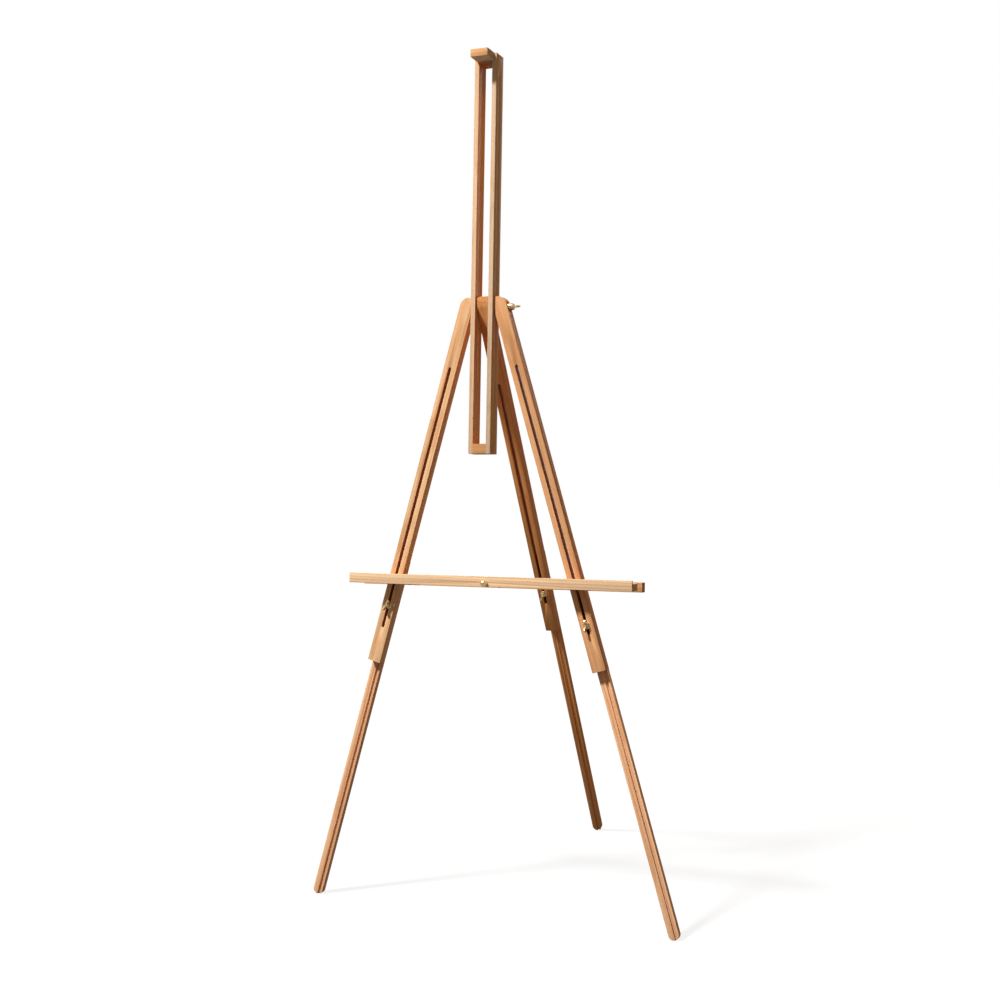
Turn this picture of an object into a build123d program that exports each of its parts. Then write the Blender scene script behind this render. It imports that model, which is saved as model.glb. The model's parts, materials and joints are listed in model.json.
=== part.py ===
"""Wooden artist's easel: a sliding slotted mast, two front legs, a swinging rear leg and a canvas tray.

Millimetres. X runs to the painter's right, Y away from the painter and Z up. The easel stands on z = 0.
Everything hangs on one cross bolt that runs along X. Each timber is drawn in a plane of its own that
contains the cross bolt's axis: x across the timber, y up along it, z out of its front face.
"""

import os
from math import cos, radians, sin, sqrt, tan

from build123d import *

os.makedirs("parts", exist_ok=True)

# Stance
bolt_height = 1365.0
left_spread = 15.6
right_spread = 16.7
front_lean = 2.1
rear_lean = 28.6
mast_lean = 3.2

# Fits
running_fit = 0.05
seat_gap = 0.1
timber_gap = 0.25
slot_play = 0.5

# Leg timber, the same stock for all three legs
leg_width = 31.5
leg_thickness = 24.0
head_radius = 21.5
head_rise = 3.5
rear_head_radius = 26.0
rear_head_setback = 13.3

# Upper legs: lengths and slot tops run down the leg from the cross bolt, margins up from its lower end
front_leg_length = 837.0
front_slot_top = 137.0
left_stud_margin = 136.0
right_stud_margin = 103.0
rear_leg_length = 875.0
rear_slot_top = 184.0
rear_stud_margin = 113.0
stud_slot_width = 7.0
slot_end_margin = 82.0
channel_depth = 5.0
channel_top = 60.0

# Lower legs
lower_width = 24.0
lower_thickness = 14.0
lower_overlap = 105.0
groove_width = 5.5
groove_depth = 4.0
groove_shift = 3.9

# Bolts and brass hardware
bolt_radius = 3.0
bolt_head_radius = 7.0
bolt_head_height = 3.2
washer_radius = 8.0
washer_thickness = 1.2
washer_margin = 2.0
nut_hub_height = 8.0
nut_base_radius = 6.5
nut_top_radius = 5.0
wing_span = 28.0
wing_height = 15.0
wing_thickness = 2.6
wing_tip_radius = 4.2
wing_lift = 1.0
thread_proud = 2.0
head_nut_angle = 12.0
head_nut_scale = 1.4
leg_nut_angle = 68.0

# Mast
mast_above = 571.0
mast_below = 329.0
mast_depth = 38.4
rail_width = 10.5
top_block_height = 21.0
bottom_block_height = 22.0
side_slot_top_margin = 48.0
side_slot_bottom_margin = 44.0
dowel_radius = 3.0
dowel_bite = 8.0
disc_thickness = 1.0
disc_radius = 11.0

# Canvas hook at the top of the mast
hook_width = 41.5
hook_reach = 38.5
hook_height = 17.0
screw_radius = 2.0
screw_head_radius = 3.8
screw_length = 62.0

# Tray; its margin runs up from the level of the upper legs' lower ends
tray_margin = 193.7
tray_length = 680.0
tray_shift = 28.0
ledge_depth = 38.8
lip_height = 22.5
lip_thickness = 6.0
ledge_height = 15.5
clamp_depth = 20.0
clamp_height = 21.5
tray_bolt_rise = 7.7
knob_radius = 7.5
knob_height = 13.0
knob_bore_depth = 9.0

# Sizes that follow from those above
left_stud_drop = front_leg_length - left_stud_margin
right_stud_drop = front_leg_length - right_stud_margin
rear_stud_drop = rear_leg_length - rear_stud_margin
tray_drop = front_leg_length * cos(radians(left_spread)) - tray_margin
slot_width = 2 * bolt_radius + 2 * slot_play
mast_gap = leg_width + 2 * timber_gap
mast_width = mast_gap + 2 * rail_width
pivot_x = mast_width / 2 + timber_gap + leg_width / 2
facet_reach = pivot_x - mast_width / 2 - disc_thickness
bolt_hole_radius = bolt_radius + running_fit
half_leg = leg_thickness / 2
leg_face = half_leg + running_fit
lower_front = half_leg - (leg_thickness - channel_depth) - running_fit
lower_rear = lower_front - lower_thickness
channel_width = lower_width + 2 * timber_gap
clamp_gap = half_leg - lower_rear + timber_gap
sink_depth = screw_head_radius - screw_radius
far = 200.0

# The origin lies under the middle of the stance, so the cross bolt stands forward of it and to its left
bolt_x = bolt_height * (tan(radians(left_spread)) - tan(radians(right_spread))) / 2
tray_front = leg_face + ledge_depth + running_fit + knob_height
tray_front_y = -tray_front * cos(radians(front_lean)) - tray_drop * sin(radians(front_lean))
rear_foot_y = bolt_height * tan(radians(rear_lean)) - lower_rear / cos(radians(rear_lean))
bolt_y = -(tray_front_y + rear_foot_y) / 2


def turned(plane, angle):
    """The plane turned about its own axis, anticlockwise as seen from the front."""
    across = plane.x_dir * cos(radians(angle)) + plane.y_dir * sin(radians(angle))
    return Plane(origin=plane.origin, x_dir=across, z_dir=plane.z_dir)


def leaning_plane(lean, x=0.0):
    """The plane of a timber that hangs on the cross bolt: its top leans back by lean degrees."""
    angle = radians(lean)
    return Plane(origin=(bolt_x + x, bolt_y, bolt_height), x_dir=(1, 0, 0), z_dir=(0, -cos(angle), sin(angle)))


def side_plane(lean, x=0.0):
    """A timber's section along its length: x up the timber, y out of its front face, z along +X."""
    angle = radians(lean)
    return Plane(origin=(bolt_x + x, bolt_y, bolt_height), x_dir=(0, sin(angle), cos(angle)), z_dir=(1, 0, 0))


def cross_plane(x):
    """The plane square to the cross bolt, x to the right of the mast's middle: its axis is the bolt's."""
    return Plane(origin=(bolt_x + x, bolt_y, bolt_height), x_dir=(0, 1, 0), z_dir=(1, 0, 0))


def spread_of(side):
    """How far a front leg stands out from the upright; side is +1 on the right and -1 on the left."""
    return right_spread if side > 0 else left_spread


def front_leg_plane(side):
    """The plane of a front leg."""
    return turned(leaning_plane(front_lean, side * pivot_x), side * spread_of(side))


def seat_x(side):
    """How far out the cross bolt's head or washer seats on a front leg's outer side."""
    return pivot_x + leg_width / 2 / cos(radians(spread_of(side))) + seat_gap


def foot_drop(lean, turn):
    """How far down the leg the centre of its rounded foot lies, so that the foot's edge meets the floor."""
    upright = cos(radians(lean)) * cos(radians(turn))
    edge = min(lower_front * sin(radians(lean)), lower_rear * sin(radians(lean)))
    return (bolt_height - lower_width / 2 * cos(radians(lean)) + edge) / upright


def finish(part, name):
    """Label a finished piece and write its STEP file, named after its node."""
    part.label = name
    export_step(part, f"parts/{name}.step")


def stud_slot(plane, top, bottom):
    """The outline of the long slot through an upper leg that the lower leg's stud slides in."""
    with BuildSketch(plane.offset(-far / 2)) as slot:
        with Locations((0, -(top + bottom) / 2)):
            SlotOverall(bottom - top, stud_slot_width, rotation=90)
    return slot.sketch


def channel(plane, length):
    """The outline of the channel in an upper leg's back, open at its lower end, that holds the lower leg."""
    with BuildSketch(plane.offset(-half_leg)) as outline:
        with Locations((0, -(channel_top + length) / 2)):
            Rectangle(channel_width, length - channel_top)
    return outline.sketch


def front_upper_leg(side, name):
    """The upper half of a front leg, with a rounded head cut back to clear the mast as the leg folds."""
    plane = front_leg_plane(side)
    spread = radians(spread_of(side))
    half_width = leg_width / 2
    facet_x = -facet_reach * cos(spread)
    facet_y = facet_reach * sin(spread)
    arc_mid = spread / 2
    relief = disc_radius + timber_gap
    ramp = relief + half_width - facet_reach
    hole = bolt_radius + slot_play
    lap = hole * tan(spread / 2)
    with BuildPart() as leg:
        with BuildSketch(plane.offset(-half_leg)):
            with Locations((0, head_rise - (front_leg_length + head_rise) / 2)):
                Rectangle(leg_width, front_leg_length + head_rise)
            with Locations((side * (half_width - head_radius), head_rise)):
                Circle(head_radius)
        extrude(amount=leg_thickness)
        # The inner side: upright against the spacer disc, then round the pivot, then out to full width
        with BuildSketch(plane.offset(-half_leg)):
            with BuildLine():
                Line((side * (facet_x + far * sin(spread)), facet_y + far * cos(spread)), (side * facet_x, facet_y))
                ThreePointArc(
                    (side * facet_x, facet_y),
                    (-side * facet_reach * cos(arc_mid), facet_reach * sin(arc_mid)),
                    (-side * facet_reach, 0),
                )
                Polyline(
                    (-side * facet_reach, 0),
                    (-side * facet_reach, -relief),
                    (-side * half_width, -ramp),
                    (-side * half_width, -far / 2),
                    (-side * far, -far / 2),
                    (-side * far, far),
                    (side * (facet_x + far * sin(spread)), facet_y + far * cos(spread)),
                )
            make_face()
        extrude(amount=leg_thickness, mode=Mode.SUBTRACT)
        # The bolt's hole widens to both sides, so that the leg can fold about its own face
        with BuildSketch(plane):
            with BuildLine():
                Polyline(
                    (side * lap, hole),
                    (side * far, hole),
                    (side * (far * cos(spread) - hole * sin(spread)), -far * sin(spread) - hole * cos(spread)),
                    (-side * lap, -hole),
                    (-side * far, -hole),
                    (-side * (far * cos(spread) - hole * sin(spread)), far * sin(spread) + hole * cos(spread)),
                    close=True,
                )
            make_face()
        extrude(amount=hole, both=True, mode=Mode.SUBTRACT)
        with BuildSketch(cross_plane(side * seat_x(side))):
            Circle(washer_radius + washer_margin)
        extrude(amount=side * head_radius, mode=Mode.SUBTRACT)
        extrude(
            stud_slot(plane, front_slot_top, front_leg_length - slot_end_margin),
            amount=far,
            mode=Mode.SUBTRACT,
        )
        extrude(channel(plane, front_leg_length), amount=channel_depth, mode=Mode.SUBTRACT)
    finish(leg.part, name)


def rear_upper_leg():
    """The rear leg's upper half: its head fills the mast's gap and has an upright front face."""
    plane = leaning_plane(-rear_lean)
    side = side_plane(-rear_lean)
    lean = radians(rear_lean)
    reach = rear_head_setback + rear_head_radius
    with BuildPart() as leg:
        with BuildSketch(side):
            Circle(rear_head_radius)
            Rectangle(2 * rear_head_radius, leg_thickness, mode=Mode.INTERSECT)
            with Locations((-rear_leg_length / 2, 0)):
                Rectangle(rear_leg_length, leg_thickness)
            with Locations((reach * sin(lean), reach * cos(lean))):
                Rectangle(3 * rear_head_radius, 2 * rear_head_radius, rotation=-rear_lean, mode=Mode.SUBTRACT)
            Circle(bolt_hole_radius, mode=Mode.SUBTRACT)
        extrude(amount=leg_width / 2, both=True)
        extrude(
            stud_slot(plane, rear_slot_top, rear_leg_length - slot_end_margin),
            amount=far,
            mode=Mode.SUBTRACT,
        )
        extrude(channel(plane, rear_leg_length), amount=channel_depth, mode=Mode.SUBTRACT)
    finish(leg.part, "rear_upper_leg")


def lower_leg(plane, stud_drop, drop, name):
    """A lower leg: a grooved batten with a round foot, bored for its stud."""
    top = stud_drop - lower_overlap
    with BuildPart() as leg:
        with BuildSketch(plane.offset(lower_rear)):
            with Locations((0, -(top + drop) / 2)):
                Rectangle(lower_width, drop - top)
            with Locations((0, -drop)):
                Circle(lower_width / 2)
            with Locations((0, -stud_drop)):
                Circle(bolt_hole_radius, mode=Mode.SUBTRACT)
        extrude(amount=lower_thickness)
        with BuildSketch(plane.offset(lower_front)):
            with Locations((groove_shift, -(top + drop) / 2)):
                Rectangle(groove_width, drop - top + 2 * lower_width)
        extrude(amount=-groove_depth, mode=Mode.SUBTRACT)
    finish(leg.part, name)


def profile_plane(plane):
    """The half-plane that a turned piece is drawn on: x out from the plane's axis, y along it."""
    return Plane(origin=plane.origin, x_dir=plane.x_dir, z_dir=-plane.y_dir)


def bolt(plane, length, name):
    """A bolt that stands on the plane, with a domed head below it."""
    with BuildPart() as body:
        with BuildSketch(profile_plane(plane)):
            with BuildLine():
                TangentArc((0, -bolt_head_height), (bolt_head_radius, 0), tangent=(1, 0))
                Polyline(
                    (bolt_head_radius, 0),
                    (bolt_radius, 0),
                    (bolt_radius, length),
                    (0, length),
                    (0, -bolt_head_height),
                )
            make_face()
        revolve(axis=Axis(plane.origin, plane.z_dir))
    finish(body.part, name)


def washer(plane, name):
    """A flat washer that lies on the plane."""
    with BuildPart() as body:
        with BuildSketch(plane):
            Circle(washer_radius)
            Circle(bolt_hole_radius, mode=Mode.SUBTRACT)
        extrude(amount=washer_thickness)
    finish(body.part, name)


def wing_nut(plane, angle, name, size=1.0):
    """A wing nut that lies on the plane, with its wings turned by angle from the plane's x.

    All of it grows with size but the bolt's hole.
    """
    base = turned(plane, angle)
    reach = size * wing_span / 2
    tip = size * wing_tip_radius
    tip_y = size * wing_height - tip
    lift = size * wing_lift
    top = size * nut_hub_height
    with BuildPart() as body:
        with BuildSketch(base):
            Circle(size * nut_base_radius)
        with BuildSketch(base.offset(top)):
            Circle(size * nut_top_radius)
        loft()
        with BuildSketch(profile_plane(base)):
            for end in (-1, 1):
                with BuildLine():
                    Polyline(
                        (0, lift),
                        (end * size * nut_base_radius, lift),
                        (end * reach, tip_y),
                        (end * (reach - 2 * tip), tip_y),
                        (0, top - lift),
                        close=True,
                    )
                make_face()
                with Locations((end * (reach - tip), tip_y)):
                    Circle(tip)
        extrude(amount=size * wing_thickness / 2, both=True)
        with BuildSketch(base):
            Circle(bolt_hole_radius)
        extrude(amount=size * wing_height, mode=Mode.SUBTRACT)
    finish(body.part, name)


def moved(plane, x, y, z):
    """The plane carried to a point of its own."""
    return Plane(origin=plane.from_local_coords((x, y, z)), x_dir=plane.x_dir, z_dir=plane.z_dir)


def mast_rail(side, name):
    """One side of the mast, with the long slot that rides on the cross bolt."""
    slot_top = mast_above - side_slot_top_margin
    slot_bottom = -mast_below + side_slot_bottom_margin
    with BuildPart() as rail:
        with BuildSketch(leaning_plane(mast_lean)):
            with Locations((side * (mast_width - rail_width) / 2, (mast_above - mast_below) / 2)):
                Rectangle(rail_width, mast_above + mast_below)
        extrude(amount=mast_depth / 2, both=True)
        with BuildSketch(side_plane(mast_lean)):
            with Locations(((slot_top + slot_bottom) / 2, 0)):
                SlotOverall(slot_top - slot_bottom, slot_width)
        extrude(amount=side * far, mode=Mode.SUBTRACT)
        with BuildSketch(side_plane(mast_lean, side * mast_gap / 2)):
            with Locations(*dowel_places):
                Circle(dowel_radius + running_fit)
        extrude(amount=side * (dowel_bite + seat_gap), mode=Mode.SUBTRACT)
    finish(rail.part, name)


def mast_block(low, high, with_screws, name):
    """A block between the rails, bored across for the dowels and, at the top, for the hook's screws."""
    with BuildPart() as block:
        with BuildSketch(leaning_plane(mast_lean)):
            with Locations((0, (low + high) / 2)):
                Rectangle(mast_gap, high - low)
        extrude(amount=mast_depth / 2, both=True)
        with BuildSketch(side_plane(mast_lean)):
            with Locations(*dowel_places):
                Circle(dowel_radius + running_fit)
        extrude(amount=mast_gap / 2, both=True, mode=Mode.SUBTRACT)
        if with_screws:
            extrude(screw_circles(screw_radius + running_fit), amount=far, mode=Mode.SUBTRACT)
            extrude(screw_circles(screw_head_radius + running_fit), amount=sink_depth, mode=Mode.SUBTRACT)
    finish(block.part, name)


def screw_circles(radius):
    """The outlines of the hook's two screws, on the mast's back."""
    with BuildSketch(leaning_plane(mast_lean).offset(-mast_depth / 2)) as circles:
        with Locations(*screw_places):
            Circle(radius)
    return circles.sketch


def tray_rail(low, high, front, back, name, lip=None):
    """One rail of the tray, bored for the clamp bolt; lip is the height and thickness of its raised edge."""
    with BuildPart() as rail:
        with BuildSketch(side_plane(front_lean, tray_shift)):
            with Locations(((low + high) / 2 - tray_drop, (front + back) / 2)):
                Rectangle(high - low, front - back)
            if lip:
                with Locations((low + lip[0] / 2 - tray_drop, front - lip[1] / 2)):
                    Rectangle(lip[0], lip[1])
        extrude(amount=tray_length / 2, both=True)
        with BuildSketch(leaning_plane(front_lean)):
            with Locations((tray_shift, tray_bolt_height)):
                Circle(bolt_hole_radius)
        extrude(amount=far, both=True, mode=Mode.SUBTRACT)
    finish(rail.part, name)


# Mast
hook_centre = mast_above - hook_height / 2
top_dowel = mast_above - top_block_height + dowel_radius * 2
bottom_dowel = -mast_below + bottom_block_height / 2
dowel_places = [(rise, reach) for rise in (top_dowel, bottom_dowel) for reach in (-mast_depth / 4, mast_depth / 4)]
screw_row = mast_above - 1.5 * screw_head_radius
screw_places = [(-mast_gap / 4, screw_row), (mast_gap / 4, screw_row)]

mast_rail(-1, "left_mast_rail")
mast_rail(1, "right_mast_rail")
mast_block(mast_above - top_block_height, mast_above, True, "mast_top_block")
mast_block(-mast_below, bottom_block_height - mast_below, False, "mast_bottom_block")

with BuildPart() as mast_dowels:
    with BuildSketch(side_plane(mast_lean)):
        with Locations(*dowel_places):
            Circle(dowel_radius)
    extrude(amount=mast_gap / 2 + dowel_bite, both=True)
finish(mast_dowels.part, "mast_dowels")

with BuildPart() as canvas_hook:
    with BuildSketch(leaning_plane(mast_lean).offset(mast_depth / 2)):
        with Locations((0, hook_centre)):
            Rectangle(hook_width, hook_height)
    extrude(amount=hook_reach)
    extrude(screw_circles(screw_radius + running_fit), amount=screw_length + seat_gap, mode=Mode.SUBTRACT)
finish(canvas_hook.part, "canvas_hook")

with BuildPart() as hook_screws:
    extrude(screw_circles(screw_radius), amount=screw_length)
    extrude(screw_circles(screw_head_radius), amount=sink_depth)
finish(hook_screws.part, "hook_screws")

# Head: the cross bolt, the discs that space the legs off the mast, and the clamping wing nut
for side, name in ((-1, "left_spacer_disc"), (1, "right_spacer_disc")):
    with BuildPart() as disc:
        with BuildSketch(cross_plane(side * mast_width / 2)):
            Circle(disc_radius)
            Circle(bolt_hole_radius, mode=Mode.SUBTRACT)
        extrude(amount=side * disc_thickness)
    finish(disc.part, name)

nut_seat = washer_thickness + running_fit
nut_stack = nut_seat + nut_hub_height + thread_proud
head_stack = nut_seat + head_nut_scale * nut_hub_height + thread_proud
bolt(cross_plane(-seat_x(-1)), seat_x(-1) + seat_x(1) + head_stack, "cross_bolt")
washer(cross_plane(seat_x(1)), "head_washer")
wing_nut(cross_plane(seat_x(1) + nut_seat), head_nut_angle, "head_wing_nut", head_nut_scale)

# Legs
front_upper_leg(-1, "front_left_upper_leg")
front_upper_leg(1, "front_right_upper_leg")
rear_upper_leg()

legs = (
    ("front_left", front_leg_plane(-1), left_stud_drop, foot_drop(front_lean, left_spread)),
    ("front_right", front_leg_plane(1), right_stud_drop, foot_drop(front_lean, right_spread)),
    ("rear", leaning_plane(-rear_lean), rear_stud_drop, foot_drop(-rear_lean, 0)),
)
for name, plane, stud_drop, drop in legs:
    lower_leg(plane, stud_drop, drop, f"{name}_lower_leg")
    bolt(moved(plane, 0, -stud_drop, lower_rear), leg_face - lower_rear + nut_stack, f"{name}_stud")
    washer(moved(plane, 0, -stud_drop, leg_face), f"{name}_washer")
    wing_nut(moved(plane, 0, -stud_drop, leg_face + nut_seat), leg_nut_angle, f"{name}_wing_nut")

# Tray
ledge_low = -lip_height / 2
ledge_top = ledge_low + ledge_height
ledge_front = leg_face + ledge_depth
clamp_front = half_leg - clamp_gap
clamp_back = clamp_front - clamp_depth
tray_bolt_height = ledge_low + tray_bolt_rise - tray_drop
tray_rail(ledge_low, ledge_top, ledge_front, leg_face, "tray_ledge", (lip_height, lip_thickness))
tray_rail(ledge_top - clamp_height, ledge_top, clamp_front, clamp_back, "tray_clamp_rail")

tray_plane = moved(leaning_plane(front_lean), tray_shift, tray_bolt_height, 0)
bolt(tray_plane.offset(clamp_back), ledge_front - clamp_back + knob_bore_depth - slot_play, "tray_bolt")

knob_plane = tray_plane.offset(ledge_front + running_fit)
knob_centre = knob_height - knob_radius
knob_base_radius = sqrt(knob_radius**2 - knob_centre**2)
with BuildPart() as tray_knob:
    with BuildSketch(profile_plane(knob_plane)):
        with BuildLine():
            Polyline(
                (0, knob_height),
                (0, knob_bore_depth),
                (bolt_hole_radius, knob_bore_depth),
                (bolt_hole_radius, 0),
                (knob_base_radius, 0),
            )
            ThreePointArc((knob_base_radius, 0), (knob_radius, knob_centre), (0, knob_height))
        make_face()
    revolve(axis=Axis(knob_plane.origin, knob_plane.z_dir))
finish(tray_knob.part, "tray_knob")
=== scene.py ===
"""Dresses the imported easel: eased, grained beech, turned and cast brass, and a plain pale studio.

Metres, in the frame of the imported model: X to the painter's right, Y away from the painter, Z up.
"""

import json
import logging
from dataclasses import dataclass, field
from enum import Enum
from math import cos, pi, radians, sin

import bpy
from mathutils import Matrix, Vector

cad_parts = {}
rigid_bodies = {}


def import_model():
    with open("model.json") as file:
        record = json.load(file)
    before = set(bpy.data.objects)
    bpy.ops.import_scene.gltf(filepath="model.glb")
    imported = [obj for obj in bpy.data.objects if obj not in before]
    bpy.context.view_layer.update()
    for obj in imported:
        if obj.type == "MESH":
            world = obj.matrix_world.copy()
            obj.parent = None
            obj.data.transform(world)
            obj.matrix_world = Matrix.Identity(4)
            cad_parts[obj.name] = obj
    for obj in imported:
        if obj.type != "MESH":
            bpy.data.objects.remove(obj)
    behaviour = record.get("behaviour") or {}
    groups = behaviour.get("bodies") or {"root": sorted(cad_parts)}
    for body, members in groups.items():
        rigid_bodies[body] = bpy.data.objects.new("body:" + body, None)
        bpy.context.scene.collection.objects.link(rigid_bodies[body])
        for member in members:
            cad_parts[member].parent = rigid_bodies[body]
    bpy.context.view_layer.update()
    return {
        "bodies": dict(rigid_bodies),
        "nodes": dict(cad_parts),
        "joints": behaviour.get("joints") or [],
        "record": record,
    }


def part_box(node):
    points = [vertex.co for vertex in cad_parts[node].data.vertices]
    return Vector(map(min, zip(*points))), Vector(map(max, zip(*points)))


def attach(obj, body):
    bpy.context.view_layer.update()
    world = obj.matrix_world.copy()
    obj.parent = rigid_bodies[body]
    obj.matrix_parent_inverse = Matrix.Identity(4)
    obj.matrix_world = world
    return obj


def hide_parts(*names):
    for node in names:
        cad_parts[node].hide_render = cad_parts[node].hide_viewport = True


log = logging.getLogger("easel")

MM = 0.001
ACROSS = Vector((1, 0, 0))
UP = Vector((0, 0, 1))
HANDLED = "handled"


class Slot(Enum):
    """The record's material slots."""

    BEECH = "beech"
    DISC = "disc"
    BRASS = "brass"
    STEEL = "steel"


# ---------------------------------------------------------------- shader building


class Value:
    """A number on a shader socket: expressions on it add Math nodes."""

    def __init__(self, nodes: "Nodes", socket: bpy.types.NodeSocket) -> None:
        """Wrap a socket of the tree that nodes builds."""
        self.nodes = nodes
        self.socket = socket

    def _math(self, operation: str, *inputs: object) -> "Value":
        """A Math node on the inputs."""
        node = self.nodes.add("ShaderNodeMath", {"operation": operation}, inputs)
        return Value(self.nodes, node.outputs[0])

    def __add__(self, other: object) -> "Value":
        """The sum."""
        return self._math("ADD", self, other)

    def __radd__(self, other: object) -> "Value":
        """The sum."""
        return self._math("ADD", other, self)

    def __sub__(self, other: object) -> "Value":
        """The difference."""
        return self._math("SUBTRACT", self, other)

    def __rsub__(self, other: object) -> "Value":
        """The difference, from a number."""
        return self._math("SUBTRACT", other, self)

    def __mul__(self, other: object) -> "Value":
        """The product."""
        return self._math("MULTIPLY", self, other)

    def __truediv__(self, other: object) -> "Value":
        """The quotient."""
        return self._math("DIVIDE", self, other)

    def __pow__(self, other: object) -> "Value":
        """The power."""
        return self._math("POWER", self, other)

    def __abs__(self) -> "Value":
        """The size without its sign."""
        return self._math("ABSOLUTE", self)

    def fract(self) -> "Value":
        """The part after the point."""
        return self._math("FRACT", self)

    def step(self, low: float, high: float) -> "Value":
        """A smooth rise from 0 at low to 1 at high."""
        node = self.nodes.add(
            "ShaderNodeMapRange",
            {"interpolation_type": "SMOOTHSTEP"},
            {"Value": self, "From Min": low, "From Max": high},
        )
        return Value(self.nodes, node.outputs[0])


class Nodes:
    """A node tree and the few calls that every finish is built from."""

    def __init__(self, owner: bpy.types.Material | bpy.types.World) -> None:
        """Empty the tree of a material or a world, to build it anew."""
        owner.use_nodes = True
        self.owner = owner
        self.tree = owner.node_tree
        self.tree.nodes.clear()

    def add(self, kind: str, settings: dict | None = None, inputs: object = None) -> bpy.types.Node:
        """Add a node.

        Args:
            kind: The node's type.
            settings: Its properties, set first.
            inputs: Values or links, by socket name or in the sockets' order.

        Returns:
            The node.
        """
        node = self.tree.nodes.new(kind)
        for name, value in (settings or {}).items():
            setattr(node, name, value)
        pairs = inputs.items() if isinstance(inputs, dict) else enumerate(inputs or ())
        for key, value in pairs:
            self._feed(node.inputs[key], value)
        return node

    def _feed(self, socket: bpy.types.NodeSocket, value: object) -> None:
        """Link or set one socket."""
        if isinstance(value, Value):
            value = value.socket
        if isinstance(value, bpy.types.NodeSocket):
            self.tree.links.new(value, socket)
        else:
            socket.default_value = value

    def value(self, socket: bpy.types.NodeSocket) -> Value:
        """The socket as a number for expressions."""
        return Value(self, socket)

    def noise(self, where: object, stretch: tuple, detail: float = 2, roughness: float = 0.5) -> Value:
        """Noise from 0 to 1.

        Args:
            where: The coordinates, in metres.
            stretch: How many waves there are per metre, along each axis.
            detail: How many finer octaves are added.
            roughness: How strong they are.

        Returns:
            The noise as a number for expressions.
        """
        scaled = self.vector("MULTIPLY", where, stretch)
        node = self.add(
            "ShaderNodeTexNoise",
            {},
            {"Vector": scaled, "Scale": 1.0, "Detail": detail, "Roughness": roughness},
        )
        return self.value(node.outputs[0])

    def vector(self, operation: str, *inputs: object) -> bpy.types.NodeSocket:
        """A Vector Math node's result, which is a number for a dot product."""
        node = self.add("ShaderNodeVectorMath", {"operation": operation}, inputs)
        return node.outputs[1 if operation == "DOT_PRODUCT" else 0]

    def mix(self, factor: object, first: object, second: object) -> bpy.types.NodeSocket:
        """Two colours mixed: the first where factor is 0, the second where it is 1."""
        return self._blend("MIX", factor, first, second)

    def multiply(self, first: object, second: object) -> bpy.types.NodeSocket:
        """Two colours multiplied."""
        return self._blend("MULTIPLY", 1.0, first, second)

    def _blend(self, blend: str, factor: object, first: object, second: object) -> bpy.types.NodeSocket:
        """A Mix node for colours, whose colour sockets come after those for numbers and vectors."""
        settings = {"data_type": "RGBA", "blend_type": blend}
        return self.add("ShaderNodeMix", settings, {0: factor, 6: first, 7: second}).outputs[2]

    def worn_edge(self, radius: float) -> Value:
        """1 along outer edges and inner corners, 0 on flat faces.

        Args:
            radius: How far from an edge the wear reaches, in metres.

        Returns:
            The wear as a number for expressions.
        """
        rounded = self.add("ShaderNodeBevel", {"samples": 4}, {"Radius": radius}).outputs[0]
        flat = self.add("ShaderNodeNewGeometry").outputs["Normal"]
        return (1 - self.value(self.vector("DOT_PRODUCT", rounded, flat))).step(0.0, 0.25)

    def finish(self, output: str, shader: bpy.types.Node) -> bpy.types.Material | bpy.types.World:
        """Link the shader to an output node of that type, and return the tree's owner."""
        self.add(output, {}, {"Surface": shader.outputs[0]})
        return self.owner

    def surface(self, inputs: dict, height: Value, depth: float, strength: float) -> bpy.types.Material:
        """Finish the material with a Principled surface whose normal comes from a height.

        Args:
            inputs: The Principled sockets' values and links.
            height: The relief, from 0 to 1.
            depth: How deep a height of 1 is, in metres.
            strength: How much of the relief shows.

        Returns:
            The material.
        """
        relief = {"Height": height, "Distance": depth, "Strength": strength}
        bump = self.add("ShaderNodeBump", {}, relief)
        shader = self.add("ShaderNodeBsdfPrincipled", {}, {**inputs, "Normal": bump.outputs[0]})
        return self.finish("ShaderNodeOutputMaterial", shader)


def tint(red: float, green: float, blue: float) -> tuple:
    """A colour as a node takes it."""
    return (red, green, blue, 1.0)


# ---------------------------------------------------------------- finishes


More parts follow.
